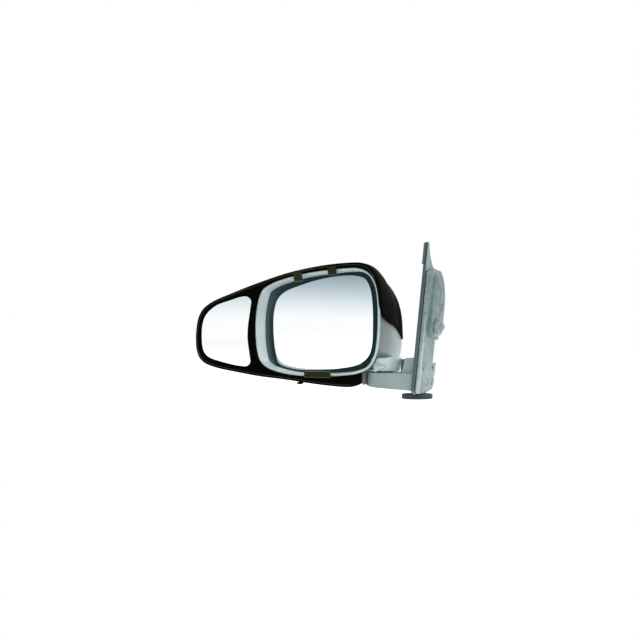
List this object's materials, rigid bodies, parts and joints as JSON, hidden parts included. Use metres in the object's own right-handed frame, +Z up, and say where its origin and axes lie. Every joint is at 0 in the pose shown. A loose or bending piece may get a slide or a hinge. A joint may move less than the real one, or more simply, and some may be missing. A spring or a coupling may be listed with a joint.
{
  "type": "towing mirror",
  "caption": "Left-hand vehicle door mirror on a folding foot, with a clip-on black towing frame that carries a second adjustable glass outboard.",
  "frame": {"origin": "point on the sail's mounting face, 60 mm up the sail and 17 mm in from its rear edge, where the mirror bolts to the door", "axes": "+X towards the door (inboard), +Y towards the front of the vehicle, +Z up"},
  "size_m": [0.4776, 0.1405, 0.2838],
  "materials": {
    "primer_plastic": "satin grey-green primer",
    "black_plastic": "fine-grained satin black",
    "black_matt": "matt",
    "clip_plastic": "dark olive black",
    "nylon": "natural nylon",
    "mirror": "mirror coated glass",
    "foam": "self-adhesive heater film and foam",
    "rubber": "matt",
    "pad_rubber": "matt dark slate",
    "steel": "ground",
    "zinc": "zinc plated",
    "aluminium": "die cast",
    "label": "blank white label",
    "aluminium_painted": "dark grey primer over die cast"
  },
  "bodies": {
    "door_base": {"sail_bracket": "aluminium_painted", "sail_cover": "primer_plastic", "sail_gasket": "rubber", "glass_run_seal": "rubber", "foot_cover": "primer_plastic", "arm_casting": "aluminium", "base_pad": "pad_rubber", "pad_bolt": "zinc", "pivot_bush": "nylon", "detent_ring_lower": "steel", "fold_spring": "steel", "connector_shroud": "black_matt", "locating_boss": "black_matt", "label_blank": "label", "thread_insert_1": "zinc", "thread_insert_2": "zinc", "thread_insert_3": "zinc", "bracket_screw_1": "zinc", "bracket_screw_2": "zinc"},
    "mirror_head": {"head_shell": "primer_plastic", "head_bezel": "primer_plastic", "head_neck": "primer_plastic", "head_frame": "aluminium", "pivot_post": "steel", "spring_retainer": "steel", "detent_ring_upper": "steel", "actuator_case": "black_matt", "actuator_cover": "black_matt", "actuator_screw_1": "zinc", "actuator_screw_2": "zinc", "actuator_screw_3": "zinc", "motor_pan": "steel", "motor_tilt": "steel"},
    "glass_gimbal": {"gimbal_ring": "nylon"},
    "main_mirror": {"main_glass": "mirror", "glass_heater_pad": "foam", "glass_holder": "black_matt"},
    "pan_jack": {"jackscrew_pan": "nylon"},
    "tilt_jack": {"jackscrew_tilt": "nylon"},
    "pan_gear": {"jack_gear_pan": "nylon"},
    "tilt_gear": {"jack_gear_tilt": "nylon"},
    "tow_frame": {"tow_front_frame": "black_plastic", "tow_back_shell": "black_plastic", "ext_pivot_base": "black_matt", "tow_screw_1": "zinc", "tow_screw_2": "zinc", "tow_screw_3": "zinc", "tow_screw_4": "zinc", "lock_screw": "black_matt"},
    "ext_gimbal": {"ext_cross": "steel"},
    "ext_mirror": {"ext_glass": "mirror", "ext_glass_holder": "black_matt"},
    "top_outer_clip": {"clip_top_outer": "clip_plastic"},
    "top_inner_clip": {"clip_top_inner": "clip_plastic"},
    "bottom_clip": {"clip_bottom": "clip_plastic"}
  },
  "joints": [
    {"name": "head_fold", "type": "hinge", "parent": "door_base", "child": "mirror_head", "pos_m": [-0.09479, 0.026, -0.05801], "axis": [0, 0, 1], "range_deg": [-40, 65]},
    {"name": "main_glass_pan", "type": "hinge", "parent": "mirror_head", "child": "glass_gimbal", "pos_m": [-0.20979, 0.029, 0.02599], "axis": [0, 0, 1], "range_deg": [-7.5, 7.5]},
    {"name": "main_glass_tilt", "type": "hinge", "parent": "glass_gimbal", "child": "main_mirror", "pos_m": [-0.20979, 0.029, 0.02599], "axis": [1, 0, 0], "range_deg": [-7.5, 7.5]},
    {"name": "pan_jack_travel", "type": "slide", "parent": "mirror_head", "child": "pan_jack", "axis": [0, 1, 0], "range_m": [-0.0052, 0.0052]},
    {"name": "tilt_jack_travel", "type": "slide", "parent": "mirror_head", "child": "tilt_jack", "axis": [0, 1, 0], "range_m": [-0.0052, 0.0052]},
    {"name": "pan_gear_turn", "type": "hinge", "parent": "mirror_head", "child": "pan_gear", "pos_m": [-0.17579, 0.029, 0.02599], "axis": [0, 1, 0], "range_deg": [-216, 216]},
    {"name": "tilt_gear_turn", "type": "hinge", "parent": "mirror_head", "child": "tilt_gear", "pos_m": [-0.20979, 0.029, 0.05999], "axis": [0, 1, 0], "range_deg": [-216, 216]},
    {"name": "tow_frame_release", "type": "slide", "parent": "mirror_head", "child": "tow_frame", "axis": [0, 1, 0], "range_m": [0, 0.15]},
    {"name": "ext_glass_pan", "type": "hinge", "parent": "tow_frame", "child": "ext_gimbal", "pos_m": [-0.38679, -0.007, 0.00599], "axis": [0, 0, 1], "range_deg": [-7.5, 7.5]},
    {"name": "ext_glass_tilt", "type": "hinge", "parent": "ext_gimbal", "child": "ext_mirror", "pos_m": [-0.38679, -0.007, 0.00599], "axis": [1, 0, 0], "range_deg": [-7.5, 7.5]},
    {"name": "top_outer_clip_release", "type": "slide", "parent": "mirror_head", "child": "top_outer_clip", "axis": [0, -1, 0], "range_m": [0, 0.03]},
    {"name": "top_inner_clip_release", "type": "slide", "parent": "mirror_head", "child": "top_inner_clip", "axis": [0, -1, 0], "range_m": [0, 0.03]},
    {"name": "bottom_clip_release", "type": "slide", "parent": "mirror_head", "child": "bottom_clip", "axis": [0, -1, 0], "range_m": [0, 0.03]}
  ],
  "couplings": [
    {"joint": "pan_jack_travel", "follows": "main_glass_pan", "m_per_rad": 0.034},
    {"joint": "tilt_jack_travel", "follows": "main_glass_tilt", "m_per_rad": -0.034},
    {"joint": "pan_gear_turn", "follows": "main_glass_pan", "ratio": 26.703},
    {"joint": "tilt_gear_turn", "follows": "main_glass_tilt", "ratio": -26.703}
  ]
}
